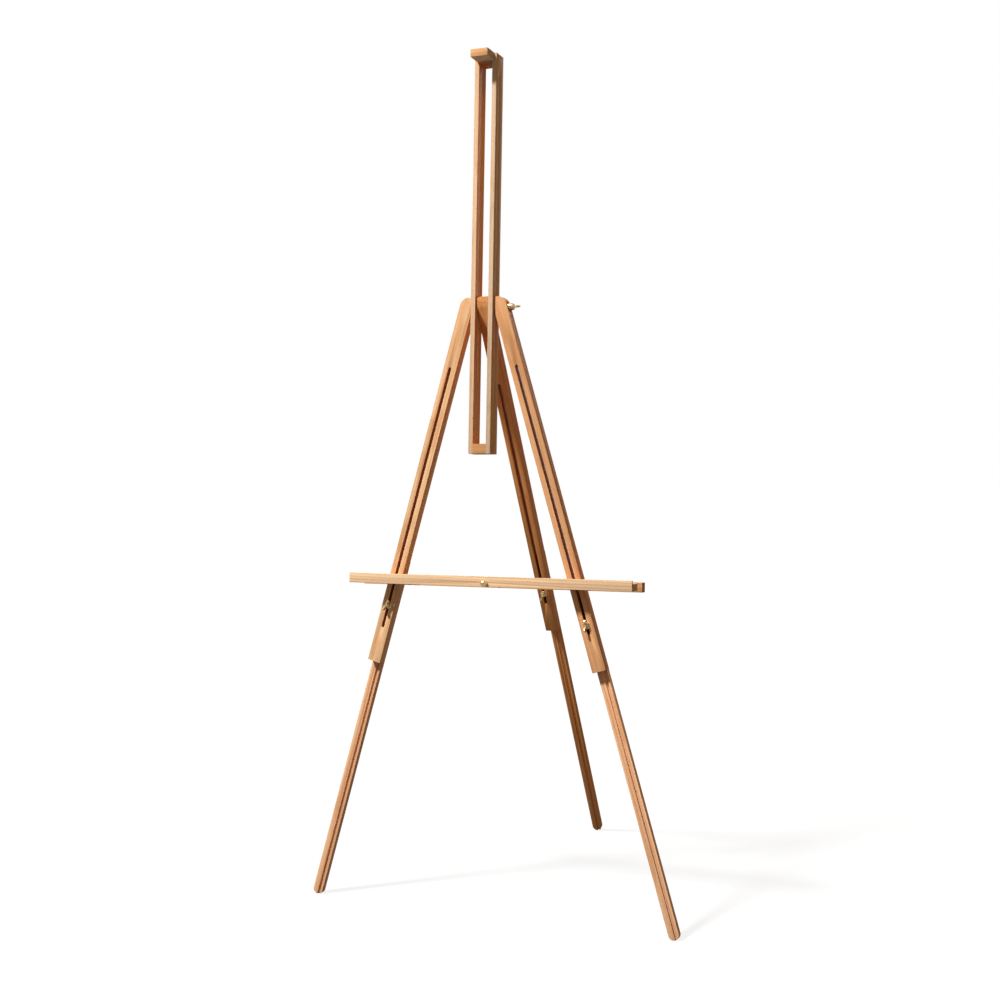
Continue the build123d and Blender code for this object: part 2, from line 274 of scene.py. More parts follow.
@dataclass(frozen=True)
class Beech:
    """Oiled beech: soft growth rings, brown flecks, darker end grain, pale rubbed edges and painted shade.

    The colours are linear. The tints for sideways faces and for slots are painted shade, multiplied onto
    the colour: the first darkens and reddens every face that looks across the timber, and the second
    darkens a slot's walls further. A ring's width, the pith's offset from the timber's middle and how far
    the rings wander are metres, and runout is how far the rings slope along the grain.
    """

    name: str
    early: tuple = (0.68, 0.36, 0.17)
    late: tuple = (0.50, 0.225, 0.088)
    fleck: tuple = (0.26, 0.10, 0.035)
    ring: float = 5.2 * MM
    pith: tuple = (0.070, 0.045)
    wander: float = 0.012
    figure: float = 0.55
    runout: float = 0.0
    streaks: float = 1.0
    # Painted shade: the darker, redder tint for faces that look sideways across the timber.
    painted_flank_shade: tuple = (0.96, 0.79, 0.64)
    # Painted shade in a slot: whether it is painted, its tint, and how far across the face it reaches.
    paints_slot_shade: bool = False
    slot: tuple = (0.62, 0.42, 0.26)
    slot_shade_reach: tuple = (7 * MM, 11 * MM)
    end_shade: float = 0.62
    edge_wear: float = 1.1 * MM
    roughness: float = 0.46
    sheen: float = 0.02
    relief: float = 0.16 * MM

    def material(self, grain: Vector, face: Vector, centre: Vector) -> bpy.types.Material:
        """Build the finish for one timber.

        Args:
            grain: The direction that the timber was sawn along.
            face: The way its broad face looks.
            centre: The timber's middle, which the pattern is placed from.

        Returns:
            The material.
        """
        nodes = Nodes(bpy.data.materials.new(self.name))
        along = grain.normalized()
        out = (face - face.dot(along) * along).normalized()
        side = along.cross(out)
        turn = Matrix((side, out, along))
        coordinates = nodes.add("ShaderNodeTexCoord").outputs
        setting = {
            "Vector": coordinates["Object"],
            "Rotation": turn.to_euler("XYZ"),
            "Location": -(turn @ centre),
        }
        place = nodes.add("ShaderNodeMapping", {}, setting).outputs[0]
        across = tuple(nodes.add("ShaderNodeSeparateXYZ", {}, {"Vector": place}).outputs)

        ring = self.rings(nodes, place, across)
        streak = nodes.noise(place, (520, 520, 7), 4, 0.62)
        fibre = nodes.noise(place, (2400, 2400, 60), 2, 0.6)
        dash = nodes.noise(place, (1300, 1500, 190), 1, 0.4).step(0.63, 0.72)
        pores = nodes.noise(place, (3200, 3200, 420), 1, 0.5).step(0.60, 0.74)
        end = self.facing(nodes, coordinates["Normal"], along).step(0.55, 0.85)
        painted_flank_shade = self.facing(nodes, coordinates["Normal"], side).step(0.45, 0.8)
        edge = nodes.worn_edge(self.edge_wear)

        colour = self.heartwood(nodes, place, ring, streak)
        colour = nodes.mix(dash * 0.42, colour, tint(*self.fleck))
        colour = nodes.mix(pores * end * 0.5, colour, tint(*self.fleck))
        sawn = tint(*(self.end_shade * channel for channel in self.late))
        colour = nodes.mix(end * 0.62, colour, sawn)
        tone = nodes.noise(place, (4, 4, 2.4), 2, 0.5)
        shade = nodes.mix(tone, tint(0.92, 0.90, 0.88), tint(1.08, 1.07, 1.06))
        colour = nodes.multiply(colour, shade)
        # Painted shade: faces that look sideways across the timber take a darker, redder tint.
        colour = nodes.mix(painted_flank_shade, colour, nodes.multiply(colour, tint(*self.painted_flank_shade)))
        # Painted shade: within the slot's width, the sideways faces, which are the slot's walls, are
        # darkened further.
        if self.paints_slot_shade:
            slot = painted_flank_shade * (1 - abs(nodes.value(across[0])).step(*self.slot_shade_reach))
            colour = nodes.mix(slot, colour, nodes.multiply(colour, tint(*self.slot)))
        rub = nodes.noise(place, (60, 60, 9), 2, 0.6).step(0.36, 0.62)
        pale = tint(*(min(1.0, 1.16 * channel + 0.02) for channel in self.early))
        colour = nodes.mix(edge * rub * 0.55, colour, pale)

        gloss = self.roughness + (streak - 0.5) * 0.22 + dash * 0.12 + end * 0.2 - edge * 0.06
        height = streak * 0.35 + fibre * 0.35 + ring * 0.25 - dash * 0.5 - pores * 0.2
        inputs = {"Base Color": colour, "Roughness": gloss, "Specular IOR Level": self.sheen}
        return nodes.surface(inputs, height, self.relief, 0.5)

    def rings(self, nodes: Nodes, place: bpy.types.NodeSocket, across: tuple) -> Value:
        """The growth rings round a wandering pith.

        Args:
            nodes: The tree that they are built in.
            place: The timber's own coordinates.
            across: The same, one socket for each axis.

        Returns:
            0 in early wood, rising to 1 in late wood and falling steeply at the ring's edge.
        """
        drift = nodes.noise(place, (9, 9, 1.6), 3, 0.55)
        sway = nodes.noise(nodes.vector("ADD", place, (3.1, 1.7, 0.4)), (14, 14, 3.0), 2)
        slant = nodes.value(across[2]) * self.runout
        x = nodes.value(across[0]) + slant + self.pith[0] + (drift - 0.5) * (2 * self.wander)
        y = nodes.value(across[1]) + self.pith[1] + (sway - 0.5) * (2 * self.wander)
        phase = ((x * x + y * y) ** 0.5 / self.ring).fract()
        return phase**2.5 * (1 - phase.step(0.86, 1.0))

    def heartwood(
        self, nodes: Nodes, place: bpy.types.NodeSocket, ring: Value, streak: Value
    ) -> bpy.types.NodeSocket:
        """The wood's colour before its flecks and wear.

        Args:
            nodes: The tree that it is built in.
            place: The timber's own coordinates.
            ring: The growth rings.
            streak: The fine streaks along the grain.

        Returns:
            The colour, darker by rings, bands, stripes and streaks.
        """
        band = nodes.noise(place, (85, 85, 2.0), 3, 0.55)
        stripe = nodes.noise(place, (230, 230, 3.4), 3, 0.6)
        lines = (band - 0.5) * 1.2 + (stripe - 0.5) * 2.0 + (streak - 0.5) * 1.0
        dark = ring * self.figure + lines * self.streaks + 0.20
        return nodes.mix(dark.step(-0.30, 0.95), tint(*self.early), tint(*self.late))

    @staticmethod
    def facing(nodes: Nodes, normal: bpy.types.NodeSocket, way: Vector) -> Value:
        """1 where a face looks along the direction or against it, 0 where it looks square to it."""
        return abs(nodes.value(nodes.vector("DOT_PRODUCT", normal, tuple(way))))


@dataclass(frozen=True)
class Metal:
    """A plated or cast metal: cloudy on its faces and bright on its edges.

    Where it is handled, the mesh's attribute of that name says how far fingers have polished it.
    """

    name: str
    bright: tuple
    dull: tuple
    roughness: float
    handled: bool = False
    edge_wear: float = 0.5 * MM
    relief: float = 0.05 * MM

    def material(self) -> bpy.types.Material:
        """Build the finish."""
        nodes = Nodes(bpy.data.materials.new(self.name))
        place = nodes.add("ShaderNodeTexCoord").outputs["Object"]
        cloud = nodes.noise(place, (240, 240, 240), 3, 0.55)
        grit = nodes.noise(place, (2600, 2600, 2600), 2, 0.6)
        scuff = nodes.noise(place, (5200, 700, 900), 2, 0.5).step(0.56, 0.72)
        edge = nodes.worn_edge(self.edge_wear)
        tarnish = cloud.step(0.42, 0.74) * (1 - edge)
        if self.handled:
            polish = nodes.add("ShaderNodeAttribute", {"attribute_name": HANDLED}).outputs["Fac"]
            tarnish = tarnish * 0.35 + (1 - nodes.value(polish)) * 0.65
        colour = nodes.mix(tarnish * 0.85, tint(*self.bright), tint(*self.dull))
        gloss = self.roughness + tarnish * 0.16 + scuff * 0.08 + (grit - 0.5) * 0.08 - edge * 0.04
        return nodes.surface(
            {"Base Color": colour, "Metallic": 1.0, "Roughness": gloss},
            cloud * 0.6 + grit * 0.3 + scuff * 0.3,
            self.relief,
            0.35,
        )


@dataclass(frozen=True)
class Ground:
    """A pale floor that shows white where it is lit and keeps the easel's shadow."""

    name: str = "studio_floor"
    paint: tuple = (0.125, 0.127, 0.132)
    glow: float = 0.84
    mirrored: float = 0.4

    def material(self) -> bpy.types.Material:
        """Build the floor's finish: only the camera sees its whole glow, and the brass a share of it."""
        nodes = Nodes(bpy.data.materials.new(self.name))
        diffuse = nodes.add("ShaderNodeBsdfDiffuse", {}, {"Color": tint(*self.paint)})
        path = nodes.add("ShaderNodeLightPath").outputs
        seen = nodes.value(path["Is Camera Ray"]) + path["Is Transmission Ray"]
        seen = seen.step(0, 1) + nodes.value(path["Is Glossy Ray"]) * self.mirrored
        light = {"Color": tint(1, 1, 1), "Strength": seen * self.glow}
        glow = nodes.add("ShaderNodeEmission", {}, light)
        both = nodes.add("ShaderNodeAddShader", {}, (diffuse.outputs[0], glow.outputs[0]))
        return nodes.finish("ShaderNodeOutputMaterial", both)


# ---------------------------------------------------------------- bench work


class Bench:
    """The modelling steps that the pieces share, each done on one object at a time."""

    @staticmethod
    def clear() -> None:
        """Leave edit mode and deselect everything."""
        if bpy.context.object and bpy.context.object.mode != "OBJECT":
            bpy.ops.object.mode_set(mode="OBJECT")
        bpy.ops.object.select_all(action="DESELECT")

    @staticmethod
    def hold(piece: bpy.types.Object) -> None:
        """Select this piece alone and make it active."""
        Bench.clear()
        piece.select_set(True)
        bpy.context.view_layer.objects.active = piece

    @staticmethod
    def modify(piece: bpy.types.Object, kind: str, **settings: object) -> None:
        """Add a modifier to the piece and apply it."""
        Bench.hold(piece)
        modifier = piece.modifiers.new(kind.lower(), kind)
        for name, value in settings.items():
            setattr(modifier, name, value)
        bpy.ops.object.modifier_apply(modifier=modifier.name)

    @staticmethod
    def smooth(piece: bpy.types.Object, angle: float = 32) -> None:
        """Shade the piece smooth where its faces meet at less than the angle."""
        Bench.hold(piece)
        bpy.ops.object.shade_smooth_by_angle(angle=radians(angle))

    @staticmethod
    def turned(name: str, profile: list[tuple[float, float]], steps: int = 48) -> bpy.types.Object:
        """Turn a piece on a lathe about Z.

        Args:
            name: The piece's name.
            profile: The outline as radius and height, in millimetres.
            steps: How many faces go round.

        Returns:
            The piece, closed and facing outwards.
        """
        Bench.clear()
        bpy.ops.mesh.primitive_plane_add(size=MM)
        piece = bpy.context.object
        piece.name = piece.data.name = name
        bpy.ops.object.mode_set(mode="EDIT")
        bpy.ops.mesh.select_mode(type="VERT")
        bpy.ops.mesh.select_all(action="SELECT")
        bpy.ops.mesh.merge(type="CENTER")
        radius, height = profile[0]
        bpy.ops.transform.translate(value=(radius * MM, 0, height * MM))
        for next_radius, next_height in profile[1:]:
            move = ((next_radius - radius) * MM, 0, (next_height - height) * MM)
            bpy.ops.mesh.extrude_region_move(TRANSFORM_OT_translate={"value": move})
            radius, height = next_radius, next_height
        bpy.ops.mesh.select_all(action="SELECT")
        bpy.ops.mesh.spin(steps=steps, angle=2 * pi, center=(0, 0, 0), axis=(0, 0, 1))
        bpy.ops.mesh.select_all(action="SELECT")
        bpy.ops.mesh.remove_doubles(threshold=0.01 * MM)
        bpy.ops.mesh.normals_make_consistent(inside=False)
        bpy.ops.object.mode_set(mode="OBJECT")
        return piece

    @staticmethod
    def eased(node: bpy.types.Object, name: str, width: float) -> bpy.types.Object:
        """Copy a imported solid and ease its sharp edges, as a maker does with sandpaper.

        Args:
            node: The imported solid.
            name: The new piece's name.
            width: How much of each edge is taken off, in millimetres.

        Returns:
            The piece.
        """
        piece = bpy.data.objects.new(name, node.data.copy())
        piece.data.name = name
        bpy.context.scene.collection.objects.link(piece)
        Bench.hold(piece)
        bpy.ops.object.mode_set(mode="EDIT")
        bpy.ops.mesh.select_all(action="SELECT")
        bpy.ops.mesh.remove_doubles(threshold=0.004 * MM)
        bpy.ops.mesh.customdata_custom_splitnormals_clear()
        bpy.ops.mesh.dissolve_limited(angle_limit=radians(0.6))
        bpy.ops.object.mode_set(mode="OBJECT")
        Bench.modify(
            piece,
            "BEVEL",
            width=width * MM,
            segments=2,
            limit_method="ANGLE",
            angle_limit=radians(40),
            use_clamp_overlap=True,
            miter_outer="MITER_ARC",
        )
        Bench.smooth(piece)
        return piece

    @staticmethod
    def twin(pattern: bpy.types.Object, name: str) -> bpy.types.Object:
        """A copy of a finished pattern, with a mesh of its own."""
        piece = pattern.copy()
        piece.data = pattern.data.copy()
        piece.name = piece.data.name = name
        bpy.context.scene.collection.objects.link(piece)
        return piece


@dataclass
class Model:
    """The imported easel: its solids, its joints and the bodies that they move."""

    frame: dict
    homes: dict[str, str] = field(default_factory=dict)

    def __post_init__(self) -> None:
        """Note which body each solid belongs to."""
        for body, nodes in self.frame["record"]["behaviour"]["bodies"].items():
            self.homes.update({node: body for node in nodes})

    def node(self, name: str) -> bpy.types.Object:
        """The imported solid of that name."""
        return self.frame["nodes"][name]

    def joint(self, name: str) -> dict:
        """The joint of that name."""
        return next(joint for joint in self.frame["joints"] if joint["name"] == name)

    def axis(self, joint: str) -> Vector:
        """The direction of a joint."""
        return Vector(self.joint(joint)["axis"]).normalized()

    def middle(self, node: str) -> Vector:
        """The middle of a solid's box."""
        low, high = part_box(node)
        return (low + high) / 2

    def seat(self, node: str, joint: str) -> Matrix:
        """Where a turned piece stands: Z up the joint's axis from the solid's foot, X along its span.

        Args:
            node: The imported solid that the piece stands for.
            joint: The joint whose axis the solid lies on.

        Returns:
            The placing matrix.
        """
        origin, up = Vector(self.joint(joint)["pos_m"]), self.axis(joint)
        points = [vertex.co - origin for vertex in self.node(node).data.vertices]
        foot = min(point.dot(up) for point in points)
        span = max((point - point.dot(up) * up for point in points), key=lambda point: point.length)
        forward = span.normalized()
        place = Matrix((forward, up.cross(forward), up)).transposed().to_4x4()
        place.translation = origin + foot * up
        return place

    def dress(self, piece: bpy.types.Object, node: str, slot: Slot, material: bpy.types.Material) -> None:
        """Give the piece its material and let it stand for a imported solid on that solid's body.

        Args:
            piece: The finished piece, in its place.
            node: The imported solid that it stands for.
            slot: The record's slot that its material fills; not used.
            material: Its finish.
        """
        piece.data.materials.clear()
        piece.data.materials.append(material)
        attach(piece, self.homes[node])
        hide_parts(node)
        log.info("%s: %d faces, on %s", piece.name, len(piece.data.polygons), self.homes[node])

    def set_down(self, piece: bpy.types.Object, node: str, joint: str, material: bpy.types.Material) -> None:
        """Move a brass piece's mesh from the origin to its seat and dress it.

        Args:
            piece: The piece, standing on the origin.
            node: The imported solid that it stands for.
            joint: The joint whose axis it lies on.
            material: Its finish.
        """
        piece.data.transform(self.seat(node, joint))
        self.dress(piece, node, Slot.BRASS, material)


# ---------------------------------------------------------------- the timber


@dataclass
class Timber:
    """One sawn and planed length of beech, its edges eased by so many millimetres."""

    node: str
    grain: Vector
    face: Vector
    finish: Beech
    easing: float

    def build(self, model: Model) -> None:
        """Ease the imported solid's edges and give it grain along its length."""
        piece = Bench.eased(model.node(self.node), f"{self.node}.timber", self.easing)
        material = self.finish.material(self.grain, self.face, model.middle(self.node))
        model.dress(piece, self.node, Slot.BEECH, material)


@dataclass
class Mast:
    """The sliding mast: two slotted rails, the blocks that join them, and the canvas hook.

    The hook's screws are in millimetres, and their slots' angles in degrees.
    """

    model: Model
    screw_head: float = 3.8
    screw_shank: float = 1.9
    screw_core: float = 1.4
    screw_length: float = 62.0
    thread_start: float = 38.0
    thread_pitch: float = 1.4
    thread_turns: int = 16
    driver_width: float = 1.0
    driver_depth: float = 1.6
    screw_turns: tuple = (-15, 85)

    def build(self, steel: bpy.types.Material) -> None:
        """Build the mast's timber and the hook's two screws."""
        rise = self.model.axis("mast_slide")
        out = ACROSS.cross(rise)
        rails = {
            # The tint given last for each rail is its painted shade on the sideways faces.
            "left_mast_rail": Beech(
                "left_rail_beech",
                (0.86, 0.61, 0.41),
                (0.69, 0.43, 0.25),
                pith=(0.052, 0.061),
                painted_flank_shade=(0.92, 0.66, 0.46),
            ),
            "right_mast_rail": Beech(
                "right_rail_beech",
                (0.73, 0.56, 0.40),
                (0.58, 0.395, 0.245),
                pith=(0.081, 0.034),
                painted_flank_shade=(1.0, 0.68, 0.40),
            ),
        }
        for node, finish in rails.items():
            Timber(node, rise, out, finish, 0.7).build(self.model)
        for node, pith in (("mast_top_block", (0.04, 0.05)), ("mast_bottom_block", (0.06, 0.03))):
            Timber(node, ACROSS, out, Beech(f"{node}_beech", pith=pith), 0.5).build(self.model)
        hook = Beech("hook_beech", (0.88, 0.65, 0.43), (0.74, 0.46, 0.24), pith=(0.03, 0.08))
        Timber("canvas_hook", ACROSS, rise, hook, 0.8).build(self.model)
        dowels = Bench.eased(self.model.node("mast_dowels"), "mast_dowels.pegs", 0.3)
        finish = Beech("peg_beech", ring=2.6 * MM)
        material = finish.material(ACROSS, rise, self.model.middle("mast_dowels"))
        self.model.dress(dowels, "mast_dowels", Slot.BEECH, material)
        self.screws(out, rise, steel)

    def screws(self, out: Vector, rise: Vector, steel: bpy.types.Material) -> None:
        """Set one screw and its twin in the back of the top block.

        Args:
            out: The way the mast's front looks.
            rise: The direction up the mast.
            steel: The screws' finish.
        """
        points = [vertex.co for vertex in self.model.node("hook_screws").data.vertices]
        back = min(point.dot(out) for point in points)
        middle = self.model.middle("hook_screws").x
        pattern = self.screw()
        pieces = []
        for side, name, angle in zip((-1, 1), ("left", "right"), self.screw_turns):
            mine = [point for point in points if (point.x - middle) * side > 0]
            centre = sum(mine, Vector()) / len(mine)
            place = Matrix((rise.cross(out), rise, out)).transposed().to_4x4()
            place.translation = centre - centre.dot(out) * out + back * out
            piece = Bench.twin(pattern, f"hook_screws.{name}")
            piece.data.transform(place @ Matrix.Rotation(radians(angle), 4, "Z"))
            pieces.append(piece)
        bpy.data.objects.remove(pattern)
        for piece in pieces:
            self.model.dress(piece, "hook_screws", Slot.STEEL, steel)

    def screw(self) -> bpy.types.Object:
        """Turn a screw from its head up to its point, and cut its driver slot."""
        head, shank = self.screw_head, self.screw_shank
        profile = [(0, 0.35), (head - 0.5, 0.35), (head - 0.1, 0.6), (head - 0.1, 0.9)]
        profile += [(shank + 0.1, 1.8), (shank, 3)]
        for turn in range(self.thread_turns):
            start = self.thread_start + turn * self.thread_pitch
            profile += [(shank, start), (self.screw_core, start + self.thread_pitch / 2)]
        profile += [(self.screw_core - 0.1, self.screw_length - 2), (0, self.screw_length)]
        screw = Bench.turned("hook_screw", profile)
        Bench.clear()
        bpy.ops.mesh.primitive_cube_add(size=MM)
        driver = bpy.context.object
        bpy.ops.object.mode_set(mode="EDIT")
        bpy.ops.transform.resize(value=(2.4 * head, self.driver_width, self.driver_depth))
        bpy.ops.mesh.bevel(offset=0.06 * MM, segments=2, affect="EDGES")
        bpy.ops.object.mode_set(mode="OBJECT")
        Bench.modify(screw, "BOOLEAN", operation="DIFFERENCE", object=driver, solver="EXACT")
        bpy.data.objects.remove(driver)
        Bench.smooth(screw)
        return screw


@dataclass
class Leg:
    """A telescoping leg: its grooved upper half, the batten that slides in it, and their clamp.

    Slide and clamp name the joints that the batten slides and the wing nut turns on.
    """

    model: Model
    prefix: str
    slide: str
    clamp: str
    upper: Beech
    lower: Beech

    def build(self, hardware: "Hardware") -> None:
        """Build the leg's two timbers and its stud, washer and wing nut."""
        along, out = self.model.axis(self.slide), self.model.axis(self.clamp)
        Timber(f"{self.prefix}_upper_leg", along, out, self.upper, 0.9).build(self.model)
        Timber(f"{self.prefix}_lower_leg", along, out, self.lower, 0.8).build(self.model)
        hardware.clamp(self.prefix, self.clamp)


@dataclass
class Tray:
    """The canvas tray: the lipped front rail and the clamp rail behind the legs."""

    model: Model

    def build(self, hardware: "Hardware") -> None:
        """Build the two rails, the bolt through them and its round brass nut."""
        front = self.model.axis("tray_knob_turn")
        ledge = Beech(
            "ledge_beech",
            (0.88, 0.66, 0.45),
            (0.66, 0.41, 0.22),
            ring=6.5 * MM,
            pith=(0.08, 0.05),
            wander=0.010,
            figure=0.8,
            runout=0.012,
            streaks=0.6,
        )
        clamp = Beech("clamp_rail_beech", (0.72, 0.42, 0.21), (0.55, 0.27, 0.11), pith=(0.06, 0.05))
        Timber("tray_ledge", ACROSS, front, ledge, 0.9).build(self.model)
        Timber("tray_clamp_rail", ACROSS, front, clamp, 0.9).build(self.model)
        hardware.tray_bolt()


# ---------------------------------------------------------------- the hardware


@dataclass
class Hardware:
    """The brass and the discs: wing nuts, washers, domed bolts and the tray's round nut.

    Sizes are millimetres. A bolt's thread is thread_length long, or thread_share of the bolt where that
    is less. The ear's sweep lists how far each step from its tip to the hub goes in and down, and what
    share of the width before it is left.
    """

    model: Model
    brass: bpy.types.Material
    cast: bpy.types.Material
    shaft: float = 3.0
    bore_play: float = 0.05
    head_radius: float = 7.0
    head_height: float = 3.2
    thread_length: float = 26.0
    thread_share: float = 0.55
    thread_depth: float = 0.45
    washer_radius: float = 8.0
    washer_thickness: float = 1.2
    hub_height: float = 8.0
    hub_base: float = 6.5
    hub_top: float = 5.0
    wing_span: float = 28.0
    wing_height: float = 15.0
    wing_thickness: float = 3.4
    wing_tip: float = 4.2
    ear_sweep: tuple = ((3.6, 2.4, 0.86), (3.0, 2.2, 0.92), (2.4, 1.6, 0.94))
    ear_swell: float = 1.18
    casting_grain: float = 0.24
    drill_length: float = 40.0
    polish_rise: float = 3.0
    knob_radius: float = 7.5
    knob_height: float = 13.0
    knob_collar: float = 5.0
    knob_depth: float = 9.0
    head_nut_scale: float = 1.4
    patterns: dict[str, bpy.types.Object] = field(default_factory=dict)

    @property
    def bore(self) -> float:
        """The radius of the hole through a nut or a washer."""
        return self.shaft + self.bore_play

    def prepare(self) -> None:
        """Model each size of wing nut and the washer once, for all their copies."""
        self.patterns["wing_nut"] = self.wing_nut("wing_nut_pattern", 1.0)
        self.patterns["head_wing_nut"] = self.wing_nut("head_wing_nut_pattern", self.head_nut_scale)
        self.patterns["washer"] = self.washer()

    def retire(self) -> None:
        """Remove the patterns when every copy is in place."""
        for pattern in self.patterns.values():
            bpy.data.objects.remove(pattern)
        self.patterns.clear()

    def wing_nut(self, name: str, size: float) -> bpy.types.Object:
        """Cast a wing nut: a tapered hub, two swept ears, softened together, then bored.

        Args:
            name: The pattern's name.
            size: Its size against the leg nuts'; the bore stays the bolt's.

        Returns:
            The pattern, standing on the origin with its wings along X.
        """
        hub = Bench.turned(
            name,
            [
                (0, 0),
                (self.hub_base - 0.5, 0),
                (self.hub_base, 0.5),
                (self.hub_base - 0.1, 1.6),
                (self.hub_top + 0.3, self.hub_height - 1.0),
                (self.hub_top - 0.6, self.hub_height),
                (0, self.hub_height),
            ],
        )
        ears = [self.ear(end) for end in (-1, 1)]
        Bench.hold(hub)
        for ear in ears:
            ear.select_set(True)
        bpy.ops.object.join()
        grain = self.casting_grain * MM
        Bench.modify(hub, "REMESH", mode="VOXEL", voxel_size=grain, adaptivity=0)
        Bench.modify(hub, "SMOOTH", factor=0.6, iterations=10)
        hub.data.transform(Matrix.Scale(size, 4))
        Bench.clear()
        radius, depth = self.bore * MM, self.drill_length * MM
        bpy.ops.mesh.primitive_cylinder_add(vertices=48, radius=radius, depth=depth)
        drill = bpy.context.object
        Bench.modify(hub, "BOOLEAN", operation="DIFFERENCE", object=drill, solver="EXACT")
        bpy.data.objects.remove(drill)
        Bench.modify(hub, "DECIMATE", ratio=0.35)
        Bench.smooth(hub, 50)
        handled = hub.data.attributes.new(HANDLED, "FLOAT", "POINT")
        for vertex, touch in zip(hub.data.vertices, handled.data):
            reach = abs(vertex.co.x) / (size * MM) - self.hub_top
            touch.value = min(1.0, max(0.0, reach / self.polish_rise))
        return hub

    def ear(self, end: int) -> bpy.types.Object:
        """Draw one ear of the wing nut from its rounded tip in to the hub.

        Args:
            end: 1 for the ear towards X, -1 for the other.

        Returns:
            The ear, where it stands on the hub.
        """
        tip_x = end * (self.wing_span / 2 - self.wing_tip)
        tip_z = self.wing_height - self.wing_tip
        Bench.clear()
        bpy.ops.mesh.primitive_cylinder_add(
            vertices=28,
            radius=self.wing_tip * MM,
            depth=self.wing_thickness * MM,
            rotation=(radians(90), 0, 0),
        )
        ear = bpy.context.object
        bpy.ops.object.transform_apply(location=False, rotation=True, scale=False)
        bpy.ops.object.mode_set(mode="EDIT")
        bpy.ops.mesh.select_all(action="SELECT")
        bpy.ops.transform.translate(value=(tip_x * MM, 0, tip_z * MM))
        bpy.ops.mesh.select_all(action="DESELECT")
        bpy.ops.mesh.select_mode(type="FACE")
        bpy.ops.object.mode_set(mode="OBJECT")
        inward = Vector((-end * 0.62, 0, -0.78)).normalized()
        for face in ear.data.polygons:
            face.select = abs(face.normal.y) < 0.5 and face.normal.dot(inward) > 0.25
        bpy.ops.object.mode_set(mode="EDIT")
        for along, down, width in self.ear_sweep:
            move = (-end * along * MM, 0, -down * MM)
            bpy.ops.mesh.extrude_region_move(TRANSFORM_OT_translate={"value": move})
            bpy.ops.transform.resize(value=(width, self.ear_swell, width))
        bpy.ops.object.mode_set(mode="OBJECT")
        return ear

    def washer(self) -> bpy.types.Object:
        """Stamp a washer: a flat ring with its outer edge rolled over."""
        inner, outer, thick = self.bore, self.washer_radius, self.washer_thickness
        profile = [
            (inner, 0),
            (outer - 0.2, 0),
            (outer, 0.2),
            (outer, thick - 0.45),
            (outer - 0.15, thick - 0.15),
            (outer - 0.5, thick),
            (inner + 0.15, thick),
            (inner, thick - 0.15),
            (inner, 0),
        ]
        ring = Bench.turned("washer_pattern", profile)
        Bench.smooth(ring, 40)
        return ring

    def bolt(self, name: str, length: float) -> bpy.types.Object:
        """Turn a domed bolt with a thread near its end.

        Args:
            name: The bolt's name.
            length: From the dome's top to the shaft's end.

        Returns:
            The bolt, standing on its dome.
        """
        r, rim, height = self.shaft, self.head_radius, self.head_height
        angles = [radians(angle) for angle in (0, 14, 28, 42, 56, 70, 82)]
        profile = [(rim * sin(angle), height * (1 - cos(angle))) for angle in angles]
        profile += [(rim, height - 0.25), (rim - 0.2, height), (r, height)]
        start = length - min(self.thread_length, length * self.thread_share)
        profile.append((r, start))
        threads = int(length - 0.8 - start)
        for turn in range(threads):
            root, crest = start + turn + 0.4, start + turn + 0.9
            profile += [(r - self.thread_depth, root), (r - 0.02, crest)]
        profile += [(r - 0.02, length - 0.6), (r - 0.6, length), (0, length)]
        shaft = Bench.turned(name, profile, 40)
        Bench.smooth(shaft, 34)
        return shaft

    def length(self, node: str, joint: str) -> float:
        """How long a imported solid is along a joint's axis, in millimetres."""
        up = self.model.axis(joint)
        reach = [vertex.co.dot(up) for vertex in self.model.node(node).data.vertices]
        return (max(reach) - min(reach)) / MM

    def clamp(self, prefix: str, joint: str) -> None:
        """Fit a leg's stud, washer and wing nut."""
        stud = f"{prefix}_stud"
        bolt = self.bolt(f"{stud}.bolt", self.length(stud, joint))
        self.model.set_down(bolt, stud, joint, self.brass)
        self.copy("washer", f"{prefix}_washer", joint, self.brass)
        self.copy("wing_nut", f"{prefix}_wing_nut", joint, self.cast)

    def head(self) -> None:
        """Fit the cross bolt with its washer and wing nut."""
        joint = "head_nut_turn"
        bolt = self.bolt("cross_bolt.bolt", self.length("cross_bolt", joint))
        self.model.set_down(bolt, "cross_bolt", joint, self.brass)
        self.copy("washer", "head_washer", joint, self.brass)
        self.copy("head_wing_nut", "head_wing_nut", joint, self.cast)

    def copy(self, pattern: str, node: str, joint: str, material: bpy.types.Material) -> None:
        """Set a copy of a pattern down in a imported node's place.

        Args:
            pattern: The pattern's name.
            node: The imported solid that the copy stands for.
            joint: The joint whose axis it lies on.
            material: Its finish.
        """
        piece = Bench.twin(self.patterns[pattern], f"{node}.brass")
        self.model.set_down(piece, node, joint, material)

    def discs(self) -> None:
        """Fit the two discs that hold the legs off the mast."""
        finish = Beech("disc_beech", (0.40, 0.19, 0.085), (0.27, 0.115, 0.045), ring=3 * MM)
        for node in ("left_spacer_disc", "right_spacer_disc"):
            piece = Bench.eased(self.model.node(node), f"{node}.wood", 0.25)
            material = finish.material(UP, ACROSS, self.model.middle(node))
            self.model.dress(piece, node, Slot.DISC, material)

